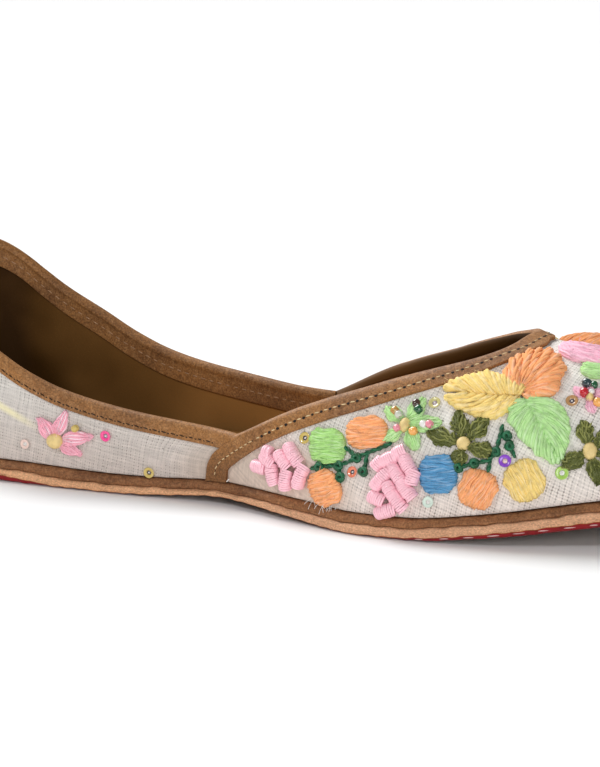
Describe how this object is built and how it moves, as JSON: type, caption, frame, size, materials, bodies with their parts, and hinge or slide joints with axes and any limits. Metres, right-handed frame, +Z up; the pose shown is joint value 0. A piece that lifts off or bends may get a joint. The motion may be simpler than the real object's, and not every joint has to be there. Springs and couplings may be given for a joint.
{
  "type": "punjabi jutti",
  "caption": "Low slip-on cloth shoe with a leather-bound collar and throat, an embroidered vamp and a flat layered leather sole.",
  "frame": {"origin": "on the floor under the middle of the shoe's box", "axes": "+X from heel to toe, +Z up, the shoe alike on both sides of the XZ plane"},
  "size_m": [0.246, 0.08, 0.055],
  "materials": {
    "sole_leather": "raw tan cut edge, red dyed underside",
    "binding_leather": "matte brown, fine grain",
    "lining_leather": "matte dark brown",
    "upper_cloth": "plain-weave cream cloth, embroidered"
  },
  "bodies": {
    "root": {"outsole": "sole_leather", "midsole": "binding_leather", "insole": "lining_leather", "upper": "upper_cloth", "collar_binding": "binding_leather", "vamp_binding": "binding_leather"}
  },
  "joints": []
}
